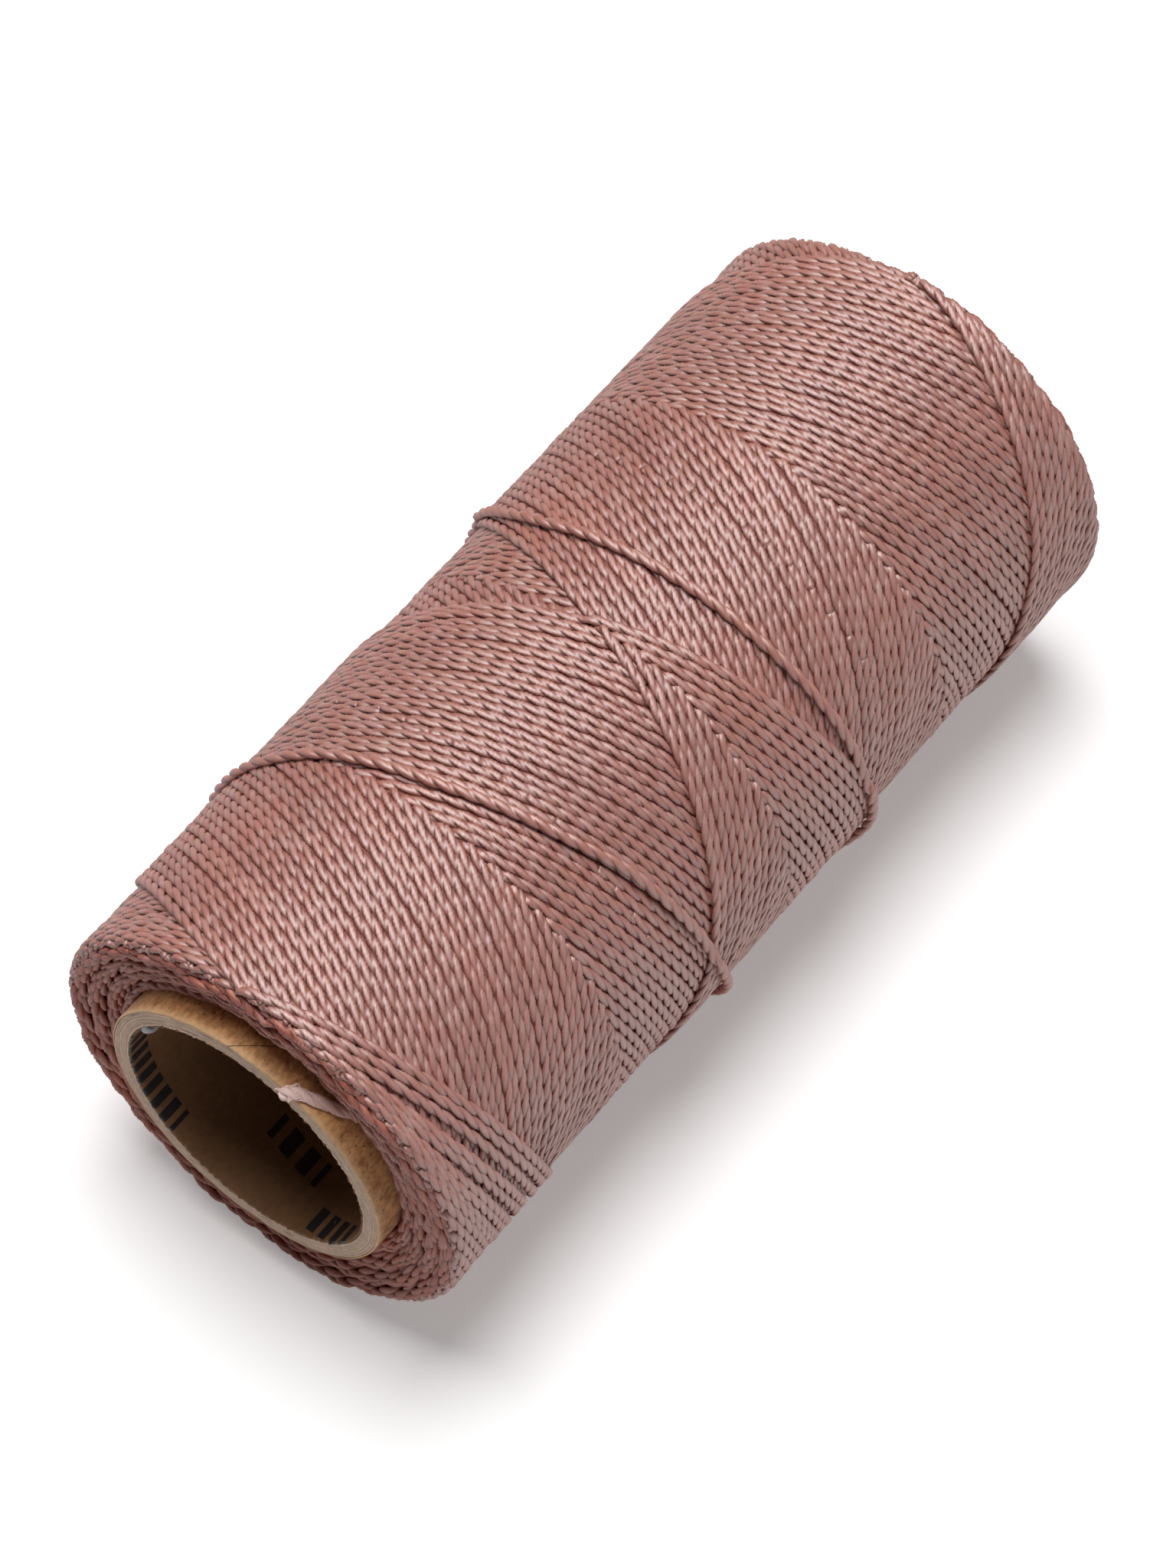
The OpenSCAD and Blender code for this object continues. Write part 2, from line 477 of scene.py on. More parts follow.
def ease(share):
    """Smooth step from 0 to 1."""
    share = np.clip(share, 0, 1)
    return share * share * (3 - 2 * share)


def bell(distance, width):
    """1 at the middle, falling smoothly to 1/e at this width: exp(-(distance / width)^2)."""
    return np.exp(-((distance / width) ** 2))


def smoothed(values, weights, ends):
    """Running mean with these weights. ends says how np.pad carries the row on past its ends."""
    padded = np.pad(values, len(weights) // 2, **ends)
    return np.convolve(padded, weights / weights.sum(), "valid")


# ---- How the thread is wound ----

STROKE_TURNS = 2
OLDER_LAYERS = 4  # layers whose turns show on the two ends
BARE_END = 3.4  # length of tube that stands out of the package at each end
FACE_DEPTH = 4.9  # from the rim to where the package's end face meets the tube
FACE_BULGE = 1.35  # how far the end face swells out from there
# The newest strokes back are set towards the near rim by this much, up to this place along.
NEWEST_SET = [0.0, 0.05, 0.2, 1.0, 0.95, 1.35, 1.15, 0.9, 0.45, 0.2]
APART_END = 26
# Places of the last wrap, as (angle, along). It lies loosely, so its slope wanders.
LAST_WRAP = [
    (140, 24.5), (120, 26.2), (100, 28.2), (80, 30.4), (60, 31.6), (45, 32.7), (30, 34.9),
    (15, 36.5), (0, 38.2), (-15, 40.9), (-30, 43.6), (-45, 46.9), (-60, 49.1), (-75, 51.3),
    (-90, 52.9), (-105, 55.6), (-150, 61.5), (-195, 69.0), (-240, 77.5), (-270, 80.4),
    (-300, 79.6), (-315, 77.7), (-330, 76.9), (-345, 77.4), (-360, 78.0), (-390, 79.6),
    (-420, 81.8), (-450, 83.5), (-464, 84.7), (-476, 84.3), (-492, 82.0), (-518, 78.0),
]  # fmt: skip
# Where it stands off or is drawn in, as (middle angle, width in degrees, rise)
WRAP_SLACK = [(-107, 14, 0.1), (76, 30, -0.4), (-284, 30, -0.4), (-484, 15, -0.4)]
WRAP_RADIUS = 31  # of the last wrap, for lengths along it
STRAIGHT_ON = {"mode": "reflect", "reflect_type": "odd"}


class Winding:
    """One thread that goes to the far end and back, two turns to a stroke.

    Its age counts double strokes back from its newest end. The angle round the axis falls
    evenly with age, by four turns and a small shift for each double stroke, so that "count" of
    them cover the package once. "travel" is the distance from the straight tip at the near end.
    """

    def __init__(self, sizes):
        self.count = sizes.double_strokes
        self.shift = 360 / self.count
        self.period = 2 * STROKE_TURNS * 360 + self.shift
        self.near = sizes.near_tip / MM
        self.reach = sizes.far_tip / MM - self.near
        self.bend = sizes.tip_bend / MM
        self.newest = math.degrees(sizes.newest_angle)
        self.radius = sizes.outer_radius / MM
        self.step = sizes.level_step / MM
        self.width = sizes.thread_width / MM
        self.lay = sizes.ply_lay / MM
        stroke = math.hypot(self.reach, STROKE_TURNS * 2 * math.pi * self.radius)
        samples = round(stroke / (sizes.ring_spacing / MM)) + 1
        self.length = np.linspace(0, stroke, samples)
        self.travel = np.linspace(0, self.reach, samples)

    def fraction(self, travel, back):
        """Age past the whole double stroke: 0 to 1/2 on the way back, 1/2 to 1 on the way out."""
        half = travel / (2 * self.reach)
        return half if back else 1 - half

    def angle(self, age):
        return self.newest - self.period * age

    def number(self, angle, travel, back):
        """Number of the stroke of that kind at this place, 0 for the newest, with its fraction."""
        turned = self.newest - angle - self.period * self.fraction(travel, back)
        return (turned / self.shift) % self.count

    def along(self, travel):
        """Distance from the near rim, with each straight tip rounded to a hyperbola."""
        left = self.reach - travel
        near = np.hypot(travel, self.bend) - travel
        far = np.hypot(left, self.bend) - left
        return self.near + travel + near - far

    def ages(self, angle, travel, margin=0.0):
        """Ages of the strokes out and back at this place. margin moves the newest edges inward."""
        both = []
        for back in (False, True):
            number = (self.number(angle, travel, back) - margin) % self.count
            both.append(number + self.fraction(travel, back))
        return both

    def top(self, angle, travel, margin=0.0):
        """Radius of the middle of the threads on top: it falls one level with each age."""
        out, back = self.ages(angle, travel, margin)
        return self.radius - self.step * (out + back) / self.count

    def levels(self, age, angle, travel, back):
        """How many levels a stroke lies under the newest, and how far it is covered, 0 to 1.

        At each crossing the older thread is one level under the newer one. Between crossings
        the level follows a smooth step.
        """
        number = self.number(angle, travel, not back)
        low = np.floor(number)
        others = [turn % self.count + self.fraction(travel, not back) for turn in (low, low + 1)]
        under = [(age > other + 1e-6) * 1.0 for other in others]
        # The change of level takes 0.6 of the way, nearer to the crossing that covers the stroke.
        change = under[1] - under[0]
        share = ease((number - low - 0.2 - 0.06 * change) / 0.6)
        covered = under[0] + share * change
        other = others[0] + share * (others[1] - others[0])
        return (age + other) / self.count + covered, covered


def end_bulge(radius):
    """Form of an end face: 0 up to 22 mm from the axis, 1 at 27 mm and a little more beyond."""
    return np.clip((radius - 22) / 5, 0, 1.2) ** 0.8


def shoulder(along):
    """How far the package's radius falls towards its ends: a parabola over the last 2.5 mm."""
    inset = np.minimum(along - BARE_END, TUBE_LENGTH - BARE_END - along)
    return 0.25 * np.clip(1 - inset / 2.5, 0, 1) ** 2


def last_wrap_path(spacing):
    """The last wrap's angles and places along, evenly spaced, its corners rounded off."""
    angle, along = np.array(LAST_WRAP, float).T
    fine = np.arange(angle.min(), angle.max(), 0.5)[::-1]
    along = smoothed(np.interp(fine, angle[::-1], along[::-1]), np.hanning(31), STRAIGHT_ON)
    steps = np.hypot(np.diff(along), np.diff(np.radians(fine)) * WRAP_RADIUS)
    length = np.concatenate([[0], np.cumsum(steps)])
    even = np.arange(0, length[-1], spacing)
    return np.interp(even, length, fine), np.interp(even, length, along)


def floor_radius(angle, height):
    """Radius at which a place is this high over the floor, and 99 away from the underside."""
    down, least, far = -np.cos(np.radians(angle)), 0.3, 99
    return np.where(down > least, (AXIS_HEIGHT - height) / np.maximum(down, least), far)


def floor_limit(angle, along, winding):
    """Largest radius of a thread's middle over the floor, with a groove for the last wrap."""
    half = 0.33 * winding.width  # from the middle of a pressed thread to its underside
    groove_depth, groove_width = 1.15, 1.25
    wrap_angle, wrap_along = last_wrap_path(1.0)
    press = np.zeros(np.broadcast(angle, along).shape)
    for turn in (0, -360):
        here = (angle - 180) % 360 - 180 + turn
        here = np.where(here > LAST_WRAP[0][0], here - 360, here)
        at = np.interp(-here, -wrap_angle, wrap_along)
        press = np.maximum(press, bell(along - at, groove_width))
    return floor_radius(angle, half) - groove_depth * press


def settle(radius, angle, along, top, winding):
    """Radii moved in by as much as the threads on top would sink into the floor."""
    limit = floor_limit(angle, along, winding)
    return np.minimum(radius - np.maximum(0, top - limit), limit)


def strokes(winding, back, random):
    """Places, twist and cover of all outer strokes of one kind, as (stroke, sample)."""

    def uneven(*sizes):
        return waves(random, winding.count, winding.length, sizes)

    travel = winding.travel[None, :]
    age = np.arange(winding.count)[:, None] + winding.fraction(travel, back)
    angle = winding.angle(age)
    level, covered = winding.levels(age, angle, travel, back)
    # The wander fades out beside both tips.
    middle = ease(np.minimum(travel, winding.reach - travel) / 9)
    along = winding.along(travel) + 0 * age
    along = along + uneven((0.075, 34), (0.065, 71), (0.05, 150), (0.02, 9)) * middle
    if back:
        set_back = np.pad(NEWEST_SET, (0, winding.count - len(NEWEST_SET)))[:, None]
        along = along - set_back * ease((APART_END - travel) / 9) * ease(travel / 6)
    top = winding.top(angle, travel) - shoulder(along)
    radius = winding.radius - winding.step * level - shoulder(along)
    radius = radius + uneven((0.04, 17), (0.05, 47))
    # A stroke that comes in to its tip rides over the older tips beside it.
    tip_slope = 0.35  # travel for each length of thread
    to_tip = (travel if back else winding.reach - travel) / tip_slope
    radius = radius + 0.5 * (1 - bell(to_tip, 2.5)) * bell(to_tip, 9)
    radius = settle(radius, angle, along, top, winding)
    start = random.uniform(-35, 35, (winding.count, 1)) + 111 * np.arange(winding.count)[:, None]
    twist = start + 360 * winding.length[None, :] / winding.lay
    twist = twist + uneven((40, 90), (15, 23))
    return angle, along, radius, twist, covered


# ---- Finishes ----

SEAM_PITCH = 103.0
SEAM_START = 1.07  # where the seam crosses the top, from the near rim
BORE_DEGREE = math.radians(BORE_RADIUS)  # millimetres round the bore to a degree
# Printed rows: middle angle, width round the bore, place along, height, slant, number of bars
PRINT_ROWS = [
    (104, 20.0, 1.5, 3.4, 0.02, 9),
    (180, 9.5, 9.3, 3.6, -0.24, 3),
    (-139, 10.5, 1.9, 3.6, -0.2, 4),
]


def shade(colour, share):
    """A darker colour: this share of it."""
    return tuple(share * part for part in colour)


def thread_finish(colours, name="waxed_thread", polish=1.0):
    """Waxed plies: crests in the thread colour and grooves painted darker as painted shade, fine
    fibres along each ply and waxy patches.
    """
    made = Finish(name, IOR=2.08, Specular_IOR_Level=polish)
    ply = made.attribute("ply", "Vector")
    crest = made.attribute("crest")
    tone = made.attribute("tone")
    fibre = made.noise(made.stretch(ply, (3.6, 3.6, 0.35)), 2.2, 3)
    patch = made.noise(made.place(), 120, 3)
    dye = made.noise(made.place(), 420, 2)
    # crest blends the grooves towards the groove colour: painted shade in the creases. fibre, patch
    # and tone are the thread's own tone.
    light = (crest**0.55) * 0.74 + 0.25 * fibre + 0.7 * (patch - 0.5) + 0.12 * tone
    colour = made.blend(light, colours.thread_groove_shade[:], colours.thread[:])
    bloom = (fibre * 0.6 + dye * 0.6).over(0.68, 0.3)
    wax = made.blend(bloom * 0.25, colour, srgb(226, 198, 190))
    roughness = 0.48 + 0.2 * (fibre - 0.3) + 0.08 * dye
    return made.finish(wax, roughness, bump=fibre, bump_depth=0.035)


def buried_finish():
    """Buried thread between the outer ones, coloured darker and greyer than them: painted shade."""
    made = Finish("buried_thread", Roughness=0.75, Specular_IOR_Level=0.2)
    grain = made.noise(made.place(), 900, 3)
    # Darker and greyer than the outer thread: painted shade in the gaps between strands.
    colour = made.blend(grain, srgb(112, 66, 58), srgb(150, 96, 86))
    return made.finish(colour, bump=grain, bump_depth=0.3)


def kraft_finish(colours):
    """Smooth kraft paper with clouds, dark specks, rubbed rim and the butt seam of its spiral."""
    made = Finish("wrap_kraft", Specular_IOR_Level=0.3, Sheen_Weight=0.1)
    along, _, angle = made.round_axis()
    place = made.place()
    cloud = made.noise(place, 150, 4, 0.65)
    pulp = made.noise(made.stretch(place, (1.0, 1.6, 1.6)), 900, 3, 0.6)
    speck = made.noise(place, 1900, 2).over(0.66, 0.08)
    light = (cloud - 0.5) * 1.8 + 0.5 + (pulp - 0.5) * 1.9
    colour = made.blend(light, srgb(150, 98, 54), colours.kraft[:])
    colour = made.blend(speck * 0.6, colour, srgb(84, 50, 26))
    inset = along.math("MINIMUM", TUBE_LENGTH - along)
    rubbed = inset.below(0.75, 1.1) * (0.25 + 0.9 * cloud)
    colour = made.blend(rubbed * 0.75, colour, srgb(216, 182, 140))
    # Distance to the seam's helix, measured along the axis: one pitch to a turn.
    turns = (along - SEAM_START) / SEAM_PITCH + angle / 360
    seam = abs(turns - turns.math("ROUND")) * SEAM_PITCH
    line = seam.below(0.07, 0.08)
    colour = made.blend(line * 0.75, colour, srgb(84, 54, 30))
    height = pulp * 0.4 - line
    return made.finish(colour, 0.62 + 0.3 * (cloud - 0.5), bump=height, bump_depth=0.08)


def liner_finish(colours):
    """Kraft liner with rows of plain printed bars."""
    made = Finish("liner_kraft", Specular_IOR_Level=0.35)
    along, _, angle = made.round_axis()
    place = made.place()
    cloud = made.noise(place, 130, 4, 0.6)
    pulp = made.noise(place, 1000, 3, 0.6)
    light = (cloud - 0.5) * 1.5 + 0.5 + (pulp - 0.5)
    colour = made.blend(light, shade(colours.liner, 0.6), colours.liner[:])
    worn = pulp.over(0.3, 0.1)
    ink = 0
    for middle, width, row, height, lean, bars in PRINT_ROWS:
        # Within a row, u runs round the bore and v along it, both in the slanted row.
        u = (angle - middle).math("WRAP", 180, -180) * BORE_DEGREE
        v = along - row - lean * u
        step = width / bars
        bar = abs((u / step + 100).math("FRACT") - 0.5) * step
        inside = abs(u).below(width / 2, 0.1) * abs(v).below(height / 2, 0.1)
        ink = ink + bar.below(0.31 * step, 0.08) * inside
    colour = made.blend(ink * worn * 0.96, colour, colours.ink[:])
    return made.finish(colour, 0.7 - 0.25 * ink, bump=pulp, bump_depth=0.05)


def board_finish(colours):
    """Grey board cut across: fine layers, fibres and a little dust."""
    made = Finish("grey_board", Roughness=0.88, Specular_IOR_Level=0.2)
    _, radius, _ = made.round_axis()
    place = made.place()
    pulp = made.noise(place, 1300, 4, 0.65)
    blotch = made.noise(place, 260, 3)
    wavy = radius * 6.2 + 1.5 * blotch
    layer = made.node("ShaderNodeTexNoise", {"noise_dimensions": "1D"}, {"W": wavy, "Scale": 1.0})
    light = 0.52 + 3.6 * (layer - 0.5) + 1.3 * (pulp - 0.5) + 0.7 * (blotch - 0.5)
    colour = made.blend(light, shade(colours.board, 0.55), colours.board[:])
    return made.finish(colour, bump=pulp + layer * 0.5, bump_depth=0.12)


def frayed_finish(colours):
    """Pale loose fibres."""
    made = Finish("frayed_thread", Sheen_Weight=0.4, Specular_IOR_Level=0.3)
    ply = made.attribute("ply", "Vector")
    streak = made.noise(made.stretch(ply, (2, 2, 0.7)), 2.5, 2)
    # Paler from the package to its tip: the last part is the length so far.
    light = 0.9 * streak + 0.085 * ply.parts()[2] - 0.2
    colour = made.blend(light, colours.thread[:], colours.frayed[:])
    return made.finish(colour, 0.55 + 0.2 * streak)


def glue_finish():
    """Dried glue: milky, smooth and a little see-through."""
    made = Finish(
        "dried_glue", Subsurface_Weight=0.4, Subsurface_Scale=0.6 * MM, Specular_IOR_Level=0.55
    )
    cloud = made.noise(made.place(), 1500, 2)
    colour = made.blend(cloud, srgb(134, 131, 136), srgb(160, 157, 162))
    return made.finish(colour, 0.5 + 0.2 * cloud)


# ---- Operators ----


class SPOOL_OT_outer_winding(bpy.types.Operator):
    """Winds the outer layer of twisted thread, out and back, as the newest strokes lie"""

    bl_idname = "spool.outer_winding"
    bl_label = "Outer winding"

    def execute(self, context):
        winding = Winding(context.scene.spool_sizes)
        finish = thread_finish(context.scene.spool_colours)
        section = Section(winding.width)
        zones = {"near": (-9, 44), "middle": (44, 90), "far": (90, 999)}
        for back, kind in ((False, "strokes_out"), (True, "strokes_back")):
            random = np.random.default_rng(SEED + back)
            angle, along, radius, twist, covered = strokes(winding, back, random)
            keep = widen(covered < 0.97, 5)  # a stroke is left out where others cover it whole
            # Under the newest strokes back, which lie apart, the strokes out show between them.
            if not back:
                newest = winding.number(angle, winding.travel[None, :], True)
                keep |= (newest < len(NEWEST_SET)) & (along < APART_END)
            centre = put(along, radius, angle)
            up = outward(angle)
            tone = random.uniform(-1, 1, (winding.count, 1))
            for zone, (low, high) in zones.items():
                inside = (along >= low) & (along < high)
                inside = inside | np.roll(inside, 1, axis=1) & (along < high + 1)
                piece = add_threads(
                    f"{kind}_{zone}", centre, up, twist, keep & inside, section, tone, finish
                )
                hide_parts("outer_winding")
        return {"FINISHED"}


class SPOOL_OT_buried_thread(bpy.types.Operator):
    """Makes the body of buried thread that shows between the outer ones, coloured darker than them
    as painted shade
    """

    bl_idname = "spool.buried_thread"
    bl_label = "Buried thread"

    def execute(self, context):
        winding = Winding(context.scene.spool_sizes)
        turns, rows, tip = 300, 170, 2.4
        angle = whole_turn(turns)
        travel = np.linspace(tip, winding.reach - tip, rows)[:, None]
        along = winding.near + travel + 0 * angle
        top = winding.top(angle, travel, margin=1.0) - shoulder(along)
        # It lies 0.2 mm inside the threads on top. Where the newest strokes back lie apart, it
        # lies under the strokes that cross them. Walls that follow the end faces close it.
        number = winding.number(angle, travel, True)
        apart = ease(len(NEWEST_SET) + 1 - number) * ease((APART_END + 2 - along) / 3)
        radius = settle(top - 0.2 - 1.0 * apart, angle, along, top, winding)
        inner = TUBE_RADIUS - 0.1
        share = np.linspace(0, 1, 10)[:-1, None]
        near_wall = inner + (radius[:1] - 1.0 - inner) * share
        far_wall = inner + (radius[-1:] - 1.0 - inner) * share[::-1]
        near_along = FACE_DEPTH - FACE_BULGE * end_bulge(near_wall)
        far_along = TUBE_LENGTH - FACE_DEPTH + FACE_BULGE * end_bulge(far_wall)
        radius = np.concatenate([near_wall, radius, far_wall])
        along = np.concatenate([near_along, along, far_along])
        piece = add_piece(
            "buried_thread",
            put(along, radius, angle),
            [grid_faces(len(radius), turns, True, True)[:, ::-1]],
            buried_finish(),
        )
        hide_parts("thread_core")
        return {"FINISHED"}


class SPOOL_OT_end_turns(bpy.types.Operator):
    """Lays the turns of the older layers, which show as arcs on the package's two ends"""

    bl_idname = "spool.end_turns"
    bl_label = "End turns"

    def execute(self, context):
        winding = Winding(context.scene.spool_sizes)
        finish = thread_finish(context.scene.spool_colours, "waxed_thread_ends", polish=0.35)
        section = Section(winding.width)
        for end, name in ((0, "end_turns_near"), (1, "end_turns_far")):
            random = np.random.default_rng(SEED + 7 + end)
            tips = np.arange(winding.count, winding.count * (1 + OLDER_LAYERS))[:, None]
            reach, spacing = 6.8, 0.5
            distance = np.arange(-reach, reach, spacing)[None, :]
            outermost, layer_depth = 29.0, 2.2
            radius = outermost - layer_depth * (tips / winding.count - 1) + 0 * distance
            radius = radius + random.normal(0, 0.07, tips.shape)
            # The side that comes in lies over the tips beside it, the side that goes out under.
            radius = radius - 1.0 * np.tanh(distance / 4.5)
            radius = np.maximum(radius, TUBE_RADIUS + 0.58)
            slope = random.normal(0.34, 0.02, tips.shape)
            bend = random.normal(1.1, 0.08, tips.shape)
            set_in = random.uniform(-0.1, 0.5, tips.shape)
            # Each turn bends round its tip by a hyperbola: hypot(slope * distance, bend).
            inset = 2.65 + set_in - FACE_BULGE * end_bulge(radius)
            inset = inset + np.hypot(slope * distance, bend)
            inset = inset + 0.12 * distance + waves(random, len(tips), distance[0], [(0.08, 9)])
            middle = winding.newest - winding.shift * (tips + 0.5 * end)
            middle = middle + random.normal(0, 0.7, tips.shape)
            angle = middle + np.degrees(distance / radius)
            along = TUBE_LENGTH - inset if end else inset
            twist = random.uniform(0, 360, tips.shape) + 360 * distance / winding.lay
            travel = inset - winding.near
            top = winding.top(angle, winding.reach - travel if end else travel, margin=1.0)
            top = top - shoulder(inset)
            radius = np.minimum(radius, top - 0.45)
            piece = add_threads(
                name,
                put(along, settle(radius, angle, along, top, winding), angle),
                outward(angle),
                twist,
                np.ones(angle.shape, bool),
                section,
                random.uniform(-1, 1, tips.shape),
                finish,
                press=0.9,
            )
            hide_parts("thread_core")
        return {"FINISHED"}


class SPOOL_OT_last_wrap(bpy.types.Operator):
    """Lays the last wrap of the thread loosely over the rest"""

    bl_idname = "spool.last_wrap"
    bl_label = "Last wrap"

    def execute(self, context):
        winding = Winding(context.scene.spool_sizes)
        spacing = 0.4
        angle, along = last_wrap_path(spacing)
        travel = along - winding.near
        top = winding.top(angle, travel)
        under = smoothed(top, np.hanning(21), {"mode": "edge"})
        slack = 0.0
        for middle, width, rise in WRAP_SLACK:
            slack = slack + rise * bell(angle - middle, width)
        stand_off = 1.04  # over the threads on top, and over their running mean
        radius = np.maximum(under, top) + stand_off + slack
        # Both ends go in under the threads beside them.
        length = np.arange(len(angle)) * spacing
        tuck_length, tuck_depth = 14, 2.4
        tuck = ease(1 - length / tuck_length) + ease(1 - (length[-1] - length) / tuck_length)
        radius = np.minimum(radius - tuck_depth * tuck, floor_radius(angle, 0.46 * winding.width))
        twist = 360 * length / winding.lay + 40 * np.sin(length / 14)
        piece = add_threads(
            "last_wrap",
            put(along, radius, angle)[None],
            outward(angle)[None],
            twist[None],
            np.ones((1, len(angle)), bool),
            Section(1.04 * winding.width),
            np.full((1, 1), 3.0),
            thread_finish(context.scene.spool_colours, "waxed_thread_loose"),
            press=1.6,
        )
        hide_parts("loose_wrap_near", "loose_wrap_far")
        return {"FINISHED"}


class SPOOL_OT_first_end(bpy.types.Operator):
    """Frays the first end of the thread, which comes out from under the package over the rim"""

    bl_idname = "spool.first_end"
    bl_label = "First end"

    def execute(self, context):
        random = np.random.default_rng(SEED + 30)
        finish = frayed_finish(context.scene.spool_colours)
        # Way of the flattened end: angle, place along and radius
        way = np.array(
            [(-44, 4.2, 21.1), (-39, 3.25, 21.05), (-34.5, 2.4, 21.0), (-29.5, 1.6, 20.95),
             (-25.5, 0.95, 20.9), (-22.8, 0.4, 20.8), (-21.4, -0.15, 20.45), (-21.0, -0.38, 19.9)]
        )  # fmt: skip
        samples = 60
        share = np.linspace(0, 1, samples)
        knots = np.linspace(0, 1, len(way))
        middle, along, radius = (
            smoothed(np.interp(share, knots, column), np.ones(9), STRAIGHT_ON)[None]
            for column in way.T
        )
        plies = add_threads(
            "first_end",
            put(along, radius, middle),
            outward(middle),
            -60 + 760 * share[None],
            np.ones((1, samples), bool),
            Section(1.45),
            np.zeros((1, 1)),
            finish,
            press=0.9,
        )
        # Fibres part from the plies and spread: across the way on the tube, round it past the rim.
        fibres = 46

        def draw(low, high):
            return random.uniform(low, high, (fibres, 1))

        own = draw(-1, 1)
        loose = ease((share[None] - draw(0.3, 0.75)) / 0.35)
        swing = loose * waves(random, fibres, share, [(0.22, 0.4), (0.12, 0.17)])
        swing = 0.62 * own * (1 + 0.55 * loose) + swing
        lift = loose * waves(random, fibres, share, [(0.14, 0.35), (0.07, 0.15)])
        lift = 0.28 * np.sqrt(1 - 0.9 * own**2) - 0.12 + lift
        past = ease((share[None] - 0.72) / 0.25)
        first, last = draw(0.1, 0.7), draw(0.84, 1)
        millimetre = 2.8  # in degrees, round the tube
        angle = middle + swing * (0.46 + 0.54 * past) * millimetre
        wisps = add_threads(
            "first_end_fibres",
            put(along + swing * 0.89 * (1 - past) - lift * past, radius + lift * (1 - past), angle),
            outward(angle),
            draw(0, 360) + 300 * share[None],
            (share[None] >= first) & (share[None] <= last),
            Section(0.2),
            draw(-1, 1),
            finish,
        )
        for piece in (plies, wisps):
            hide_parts("start_tail")
        return {"FINISHED"}


def lathe(name, profile, turns, shape, material):
    """A closed wall round the axis. profile is a closed line of (along, radius, weight) points.

    shape(along, radius, angle) gives what is added to along, scaled by the point's weight.
    """
    points = np.array(profile, float)
    angle = whole_turn(turns)
    along, radius, weight = (column[:, None] + 0 * angle for column in points.T)
    along = along + weight * shape(along, radius, angle)
    faces = grid_faces(len(points), turns, True, True)
    return add_piece(name, put(along, radius, angle), [faces], material)


def ragged(random, terms, low, high):
    """A smooth random function of the angle: a sum of low to high whole waves round the rim."""
    counts = random.integers(low, high, terms)
    starts = random.uniform(0, 360, terms)
    heights = random.normal(0, 1, terms) / math.sqrt(terms)

    def value(angle):
        turn = np.radians(angle[..., None] * counts + starts)
        return (np.sin(turn) * heights).sum(-1)

    return value


class SPOOL_OT_paper_tube(bpy.types.Operator):
    """Builds the spiral paper tube: liner, grey board with its layers, and kraft wrap"""

    bl_idname = "spool.paper_tube"
    bl_label = "Paper tube"

    def execute(self, context):
        colours = context.scene.spool_colours
        random = np.random.default_rng(SEED + 50)
        turns, layers = 480, 8
        wrap_in = TUBE_RADIUS - 0.3
        liner_out = BORE_RADIUS + 0.3
        walls = [2.0, 6.0, 25.0, 67.5, 110.0, 129.0, 133.0]

        def both_ends(outline, inner):
            """A rim outline from outside to inside, then the inner wall, the far rim and back."""
            far = [
                (TUBE_LENGTH - along, radius, -weight) for along, radius, weight in outline[::-1]
            ]
            inside = [(along, inner, 0) for along in walls]
            outside = [(along, outline[0][1], 0) for along in walls[::-1]]
            return outline + inside + far + outside

        def corner(turn, start, drop=0.0, depth=0.0, weight=1):
            """A quarter round of the rim's outer corner, depth inside its surface."""
            roll, rise, side = 0.3, math.sin(turn), math.cos(turn)
            along = roll * (1 - rise) + start + depth * rise
            radius = TUBE_RADIUS - roll * (1 - side) - drop - depth * side
            return along, radius, weight * rise

        # The wrap is rolled over the rounded outer corner of the rim.
        rolled = np.radians(np.linspace(0, 78, 9))
        front = [corner(turn, 0.02) for turn in rolled]
        rear = [corner(turn, 0.02, depth=0.14) for turn in rolled[::-1]]
        edge = ragged(random, 30, 2, 40)
        outline = [(1.2, TUBE_RADIUS, 0)] + front + rear + [(1.2, wrap_in, 0)]
        piece = lathe(
            "tube_wrap",
            both_ends(outline, wrap_in),
            360,
            lambda along, radius, angle: 0.035 * edge(angle),
            kraft_finish(colours),
        )
        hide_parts("outer_wrap")

        # The board's cut edge: each ply ends at its own height, with a fine groove between plies.
        heights = [ragged(random, 24, 2, 30) for _ in range(layers)]
        fuzz = ragged(random, 60, 40, 170)
        ply = (wrap_in - liner_out) / layers

        def layered(along, radius, angle):
            place = (radius - liner_out) / ply
            own = np.clip(np.floor(place), 0, layers - 1)
            value = sum((own == number) * height(angle) for number, height in enumerate(heights))
            seam = np.abs(place - np.round(place)) * ply
            groove = 0.05 * bell(seam, 0.05) * (np.round(place) % 2 == 0)
            inner = np.exp(-((radius - liner_out) / 0.25))
            return 0.045 * value + groove + 0.09 * fuzz(angle) * inner

        outer = [corner(turn, 0.15, drop=0.16, weight=0) for turn in rolled[:-2]]
        rim_radii = np.linspace(outer[-1][1] - 0.06, liner_out, 46)
        rim = [(0.03, float(radius), 1.0) for radius in rim_radii]
        outline = [(1.5, wrap_in, 0)] + outer + rim + [(0.3, liner_out, 0.5), (1.5, liner_out, 0)]
        outline = both_ends(outline, liner_out)
        piece = lathe("tube_board", outline, turns, layered, board_finish(colours))
        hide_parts("board_ply_1", "board_ply_2", "board_ply_3", "board_ply_4")

        torn = ragged(random, 60, 20, 150)
        outline = [
            (1.2, liner_out - 0.01, 0),
            (0.4, liner_out - 0.01, 0.3),
            (0.08, liner_out - 0.03, 1),
            (0.0, liner_out - 0.12, 1),
            (0.06, BORE_RADIUS + 0.06, 1),
            (0.22, BORE_RADIUS, 0.8),
            (0.7, BORE_RADIUS, 0.1),
            (1.2, BORE_RADIUS, 0),
        ]
        piece = lathe(
            "tube_liner",
            both_ends(outline, BORE_RADIUS),
            turns,
            lambda along, radius, angle: 0.1 * torn(angle) + 0.06,
            liner_finish(colours),
        )
        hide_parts("inner_liner")
        return {"FINISHED"}


